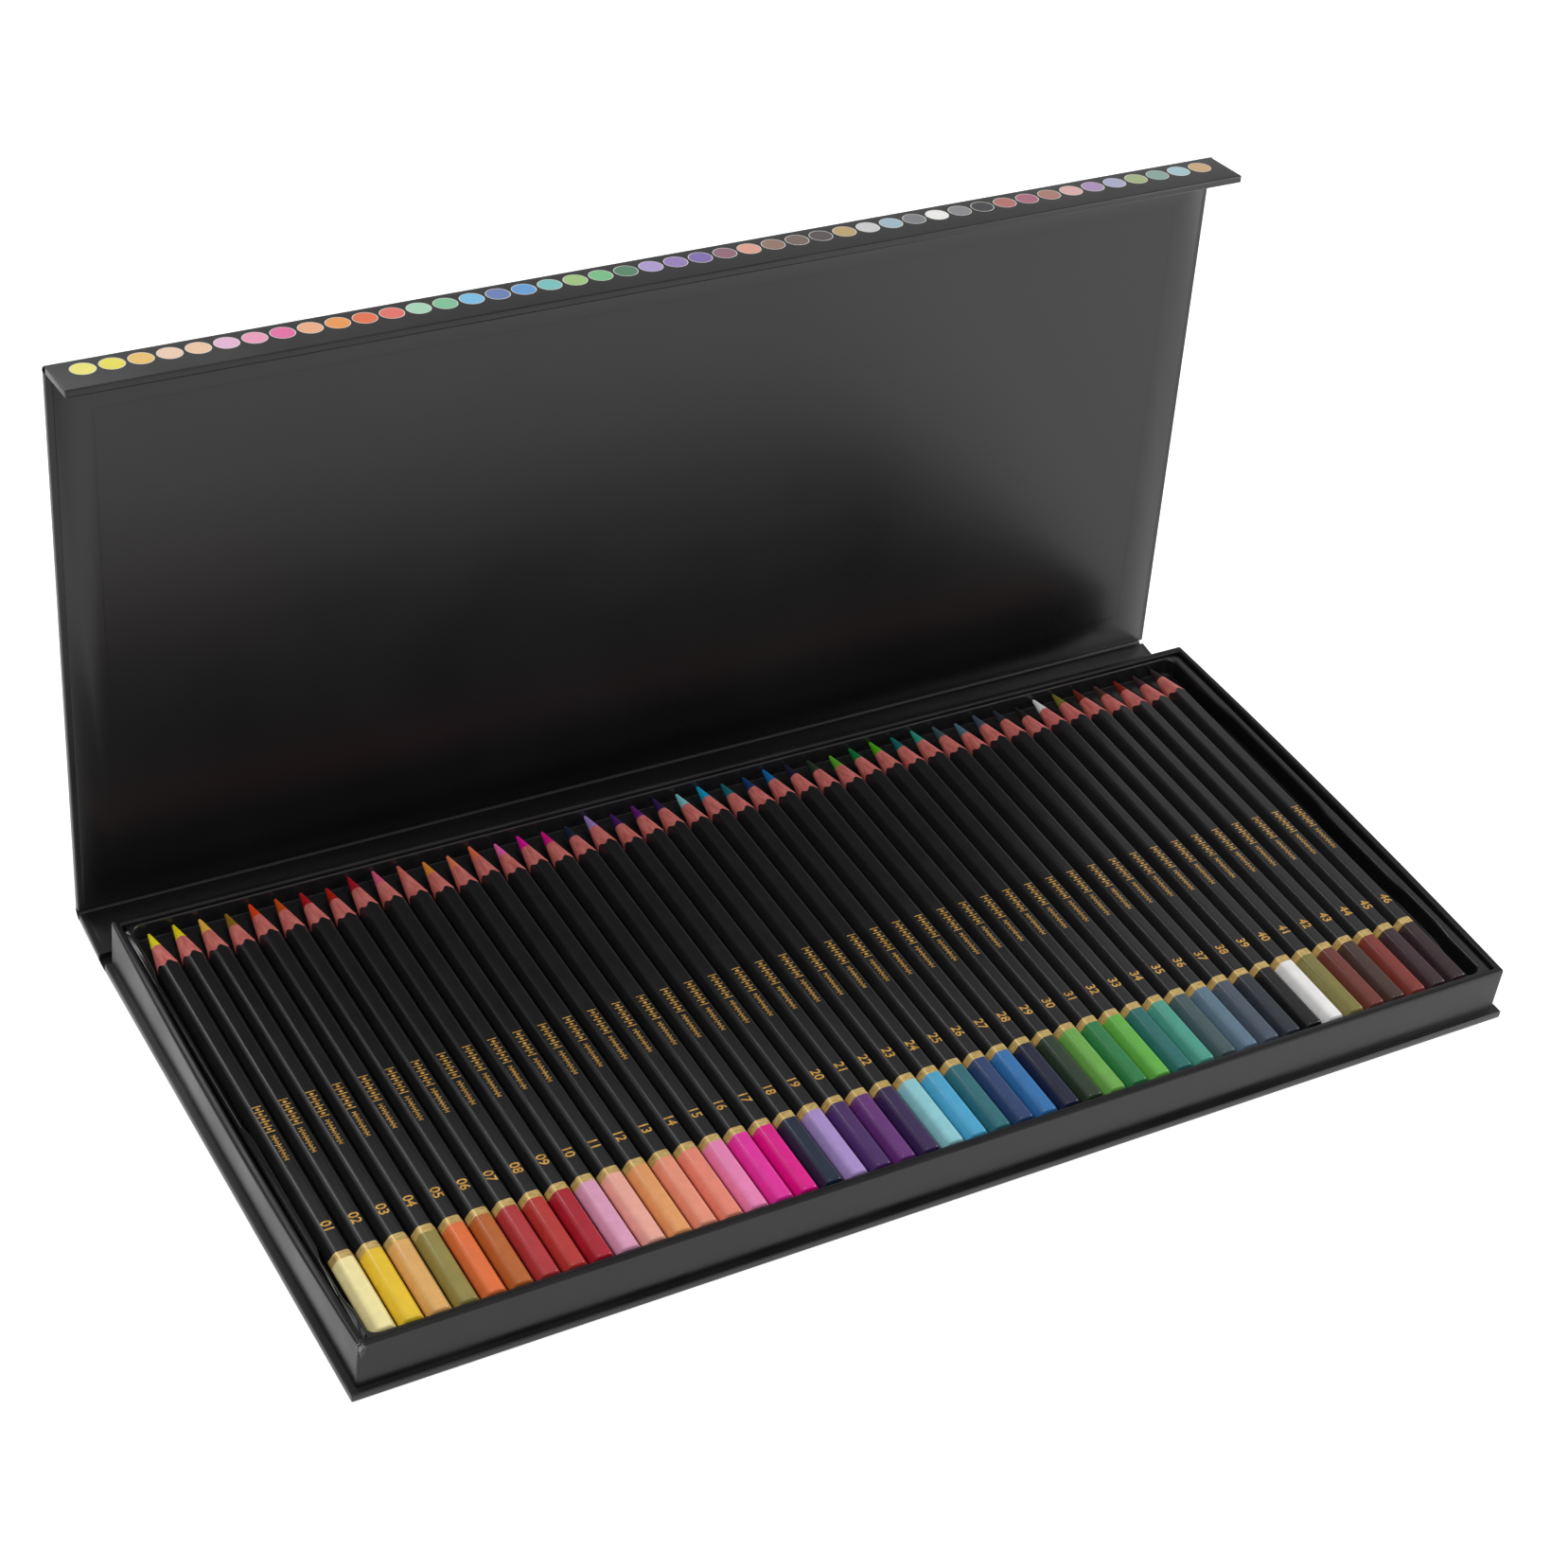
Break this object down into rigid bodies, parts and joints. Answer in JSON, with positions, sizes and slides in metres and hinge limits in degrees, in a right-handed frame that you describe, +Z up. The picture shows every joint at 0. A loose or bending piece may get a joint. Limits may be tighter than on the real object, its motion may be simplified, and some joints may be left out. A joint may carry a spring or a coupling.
{
  "type": "pencil box",
  "caption": "Shallow book-style box with a folding spine, lid and magnetic front flap, holding a lift-out tray with a row of coloured hexagonal pencils.",
  "frame": {"origin": "on the underside of the base board, below the middle of the wall frame", "axes": "+Z up from the surface the box lies on, +X along the box's length from left to right, +Y from the front flap's side towards the spine"},
  "size_m": [0.398, 0.2287, 0.1916],
  "materials": {
    "black_board": "rigid card wrapped in satin black paper",
    "liner_paper": "satin black lining paper",
    "hinge_paper": "satin black paper, folded",
    "tray_plastic": "glossy black formed sheet",
    "magnet": "plated magnet, hidden under the wrap",
    "steel": "plain steel disc, hidden under the wrap",
    "pencil": "matt black lacquer over wood, coloured core"
  },
  "bodies": {
    "base": {"base_board": "black_board", "front_wall": "black_board", "back_wall": "black_board", "end_walls": "black_board", "wall_plates": "steel", "base_spine_hinge": "hinge_paper"},
    "spine": {"spine_board": "black_board", "spine_lid_hinge": "hinge_paper"},
    "lid": {"lid_board": "black_board", "lid_liner": "liner_paper", "lid_flap_hinge": "hinge_paper"},
    "flap": {"flap_board": "black_board", "flap_magnets": "magnet"},
    "tray": {"insert_tray": "tray_plastic"},
    "pencil_01": {"pencil_01": "pencil"},
    "pencil_02": {"pencil_02": "pencil"},
    "pencil_03": {"pencil_03": "pencil"},
    "pencil_04": {"pencil_04": "pencil"},
    "pencil_05": {"pencil_05": "pencil"},
    "pencil_06": {"pencil_06": "pencil"},
    "pencil_07": {"pencil_07": "pencil"},
    "pencil_08": {"pencil_08": "pencil"},
    "pencil_09": {"pencil_09": "pencil"},
    "pencil_10": {"pencil_10": "pencil"},
    "pencil_11": {"pencil_11": "pencil"},
    "pencil_12": {"pencil_12": "pencil"},
    "pencil_13": {"pencil_13": "pencil"},
    "pencil_14": {"pencil_14": "pencil"},
    "pencil_15": {"pencil_15": "pencil"},
    "pencil_16": {"pencil_16": "pencil"},
    "pencil_17": {"pencil_17": "pencil"},
    "pencil_18": {"pencil_18": "pencil"},
    "pencil_19": {"pencil_19": "pencil"},
    "pencil_20": {"pencil_20": "pencil"},
    "pencil_21": {"pencil_21": "pencil"},
    "pencil_22": {"pencil_22": "pencil"},
    "pencil_23": {"pencil_23": "pencil"},
    "pencil_24": {"pencil_24": "pencil"},
    "pencil_25": {"pencil_25": "pencil"},
    "pencil_26": {"pencil_26": "pencil"},
    "pencil_27": {"pencil_27": "pencil"},
    "pencil_28": {"pencil_28": "pencil"},
    "pencil_29": {"pencil_29": "pencil"},
    "pencil_30": {"pencil_30": "pencil"},
    "pencil_31": {"pencil_31": "pencil"},
    "pencil_32": {"pencil_32": "pencil"},
    "pencil_33": {"pencil_33": "pencil"},
    "pencil_34": {"pencil_34": "pencil"},
    "pencil_35": {"pencil_35": "pencil"},
    "pencil_36": {"pencil_36": "pencil"},
    "pencil_37": {"pencil_37": "pencil"},
    "pencil_38": {"pencil_38": "pencil"},
    "pencil_39": {"pencil_39": "pencil"},
    "pencil_40": {"pencil_40": "pencil"},
    "pencil_41": {"pencil_41": "pencil"},
    "pencil_42": {"pencil_42": "pencil"},
    "pencil_43": {"pencil_43": "pencil"},
    "pencil_44": {"pencil_44": "pencil"},
    "pencil_45": {"pencil_45": "pencil"},
    "pencil_46": {"pencil_46": "pencil"}
  },
  "joints": [
    {"name": "spine_hinge", "type": "hinge", "parent": "base", "child": "spine", "pos_m": [0, 0.0938, 0], "axis": [-1, 0, 0], "range_deg": [-83, 7], "deforming": ["base_spine_hinge"]},
    {"name": "lid_hinge", "type": "hinge", "parent": "spine", "child": "lid", "pos_m": [0, 0.11574, 0.00269], "axis": [-1, 0, 0], "range_deg": [-13, 77], "deforming": ["spine_lid_hinge"]},
    {"name": "flap_hinge", "type": "hinge", "parent": "lid", "child": "flap", "pos_m": [0, 0.13534, 0.18927], "axis": [-1, 0, 0], "range_deg": [-1, 89], "deforming": ["lid_flap_hinge"]},
    {"name": "tray_lift", "type": "slide", "parent": "base", "child": "tray", "axis": [0, 0, 1], "range_m": [0, 0.04]},
    {"name": "pencil_01_lift", "type": "slide", "parent": "tray", "child": "pencil_01", "axis": [0, 0, 1], "range_m": [0, 0.03]},
    {"name": "pencil_02_lift", "type": "slide", "parent": "tray", "child": "pencil_02", "axis": [0, 0, 1], "range_m": [0, 0.03]},
    {"name": "pencil_03_lift", "type": "slide", "parent": "tray", "child": "pencil_03", "axis": [0, 0, 1], "range_m": [0, 0.03]},
    {"name": "pencil_04_lift", "type": "slide", "parent": "tray", "child": "pencil_04", "axis": [0, 0, 1], "range_m": [0, 0.03]},
    {"name": "pencil_05_lift", "type": "slide", "parent": "tray", "child": "pencil_05", "axis": [0, 0, 1], "range_m": [0, 0.03]},
    {"name": "pencil_06_lift", "type": "slide", "parent": "tray", "child": "pencil_06", "axis": [0, 0, 1], "range_m": [0, 0.03]},
    {"name": "pencil_07_lift", "type": "slide", "parent": "tray", "child": "pencil_07", "axis": [0, 0, 1], "range_m": [0, 0.03]},
    {"name": "pencil_08_lift", "type": "slide", "parent": "tray", "child": "pencil_08", "axis": [0, 0, 1], "range_m": [0, 0.03]},
    {"name": "pencil_09_lift", "type": "slide", "parent": "tray", "child": "pencil_09", "axis": [0, 0, 1], "range_m": [0, 0.03]},
    {"name": "pencil_10_lift", "type": "slide", "parent": "tray", "child": "pencil_10", "axis": [0, 0, 1], "range_m": [0, 0.03]},
    {"name": "pencil_11_lift", "type": "slide", "parent": "tray", "child": "pencil_11", "axis": [0, 0, 1], "range_m": [0, 0.03]},
    {"name": "pencil_12_lift", "type": "slide", "parent": "tray", "child": "pencil_12", "axis": [0, 0, 1], "range_m": [0, 0.03]},
    {"name": "pencil_13_lift", "type": "slide", "parent": "tray", "child": "pencil_13", "axis": [0, 0, 1], "range_m": [0, 0.03]},
    {"name": "pencil_14_lift", "type": "slide", "parent": "tray", "child": "pencil_14", "axis": [0, 0, 1], "range_m": [0, 0.03]},
    {"name": "pencil_15_lift", "type": "slide", "parent": "tray", "child": "pencil_15", "axis": [0, 0, 1], "range_m": [0, 0.03]},
    {"name": "pencil_16_lift", "type": "slide", "parent": "tray", "child": "pencil_16", "axis": [0, 0, 1], "range_m": [0, 0.03]},
    {"name": "pencil_17_lift", "type": "slide", "parent": "tray", "child": "pencil_17", "axis": [0, 0, 1], "range_m": [0, 0.03]},
    {"name": "pencil_18_lift", "type": "slide", "parent": "tray", "child": "pencil_18", "axis": [0, 0, 1], "range_m": [0, 0.03]},
    {"name": "pencil_19_lift", "type": "slide", "parent": "tray", "child": "pencil_19", "axis": [0, 0, 1], "range_m": [0, 0.03]},
    {"name": "pencil_20_lift", "type": "slide", "parent": "tray", "child": "pencil_20", "axis": [0, 0, 1], "range_m": [0, 0.03]},
    {"name": "pencil_21_lift", "type": "slide", "parent": "tray", "child": "pencil_21", "axis": [0, 0, 1], "range_m": [0, 0.03]},
    {"name": "pencil_22_lift", "type": "slide", "parent": "tray", "child": "pencil_22", "axis": [0, 0, 1], "range_m": [0, 0.03]},
    {"name": "pencil_23_lift", "type": "slide", "parent": "tray", "child": "pencil_23", "axis": [0, 0, 1], "range_m": [0, 0.03]},
    {"name": "pencil_24_lift", "type": "slide", "parent": "tray", "child": "pencil_24", "axis": [0, 0, 1], "range_m": [0, 0.03]},
    {"name": "pencil_25_lift", "type": "slide", "parent": "tray", "child": "pencil_25", "axis": [0, 0, 1], "range_m": [0, 0.03]},
    {"name": "pencil_26_lift", "type": "slide", "parent": "tray", "child": "pencil_26", "axis": [0, 0, 1], "range_m": [0, 0.03]},
    {"name": "pencil_27_lift", "type": "slide", "parent": "tray", "child": "pencil_27", "axis": [0, 0, 1], "range_m": [0, 0.03]},
    {"name": "pencil_28_lift", "type": "slide", "parent": "tray", "child": "pencil_28", "axis": [0, 0, 1], "range_m": [0, 0.03]},
    {"name": "pencil_29_lift", "type": "slide", "parent": "tray", "child": "pencil_29", "axis": [0, 0, 1], "range_m": [0, 0.03]},
    {"name": "pencil_30_lift", "type": "slide", "parent": "tray", "child": "pencil_30", "axis": [0, 0, 1], "range_m": [0, 0.03]},
    {"name": "pencil_31_lift", "type": "slide", "parent": "tray", "child": "pencil_31", "axis": [0, 0, 1], "range_m": [0, 0.03]},
    {"name": "pencil_32_lift", "type": "slide", "parent": "tray", "child": "pencil_32", "axis": [0, 0, 1], "range_m": [0, 0.03]},
    {"name": "pencil_33_lift", "type": "slide", "parent": "tray", "child": "pencil_33", "axis": [0, 0, 1], "range_m": [0, 0.03]},
    {"name": "pencil_34_lift", "type": "slide", "parent": "tray", "child": "pencil_34", "axis": [0, 0, 1], "range_m": [0, 0.03]},
    {"name": "pencil_35_lift", "type": "slide", "parent": "tray", "child": "pencil_35", "axis": [0, 0, 1], "range_m": [0, 0.03]},
    {"name": "pencil_36_lift", "type": "slide", "parent": "tray", "child": "pencil_36", "axis": [0, 0, 1], "range_m": [0, 0.03]},
    {"name": "pencil_37_lift", "type": "slide", "parent": "tray", "child": "pencil_37", "axis": [0, 0, 1], "range_m": [0, 0.03]},
    {"name": "pencil_38_lift", "type": "slide", "parent": "tray", "child": "pencil_38", "axis": [0, 0, 1], "range_m": [0, 0.03]},
    {"name": "pencil_39_lift", "type": "slide", "parent": "tray", "child": "pencil_39", "axis": [0, 0, 1], "range_m": [0, 0.03]},
    {"name": "pencil_40_lift", "type": "slide", "parent": "tray", "child": "pencil_40", "axis": [0, 0, 1], "range_m": [0, 0.03]},
    {"name": "pencil_41_lift", "type": "slide", "parent": "tray", "child": "pencil_41", "axis": [0, 0, 1], "range_m": [0, 0.03]},
    {"name": "pencil_42_lift", "type": "slide", "parent": "tray", "child": "pencil_42", "axis": [0, 0, 1], "range_m": [0, 0.03]},
    {"name": "pencil_43_lift", "type": "slide", "parent": "tray", "child": "pencil_43", "axis": [0, 0, 1], "range_m": [0, 0.03]},
    {"name": "pencil_44_lift", "type": "slide", "parent": "tray", "child": "pencil_44", "axis": [0, 0, 1], "range_m": [0, 0.03]},
    {"name": "pencil_45_lift", "type": "slide", "parent": "tray", "child": "pencil_45", "axis": [0, 0, 1], "range_m": [0, 0.03]},
    {"name": "pencil_46_lift", "type": "slide", "parent": "tray", "child": "pencil_46", "axis": [0, 0, 1], "range_m": [0, 0.03]}
  ]
}
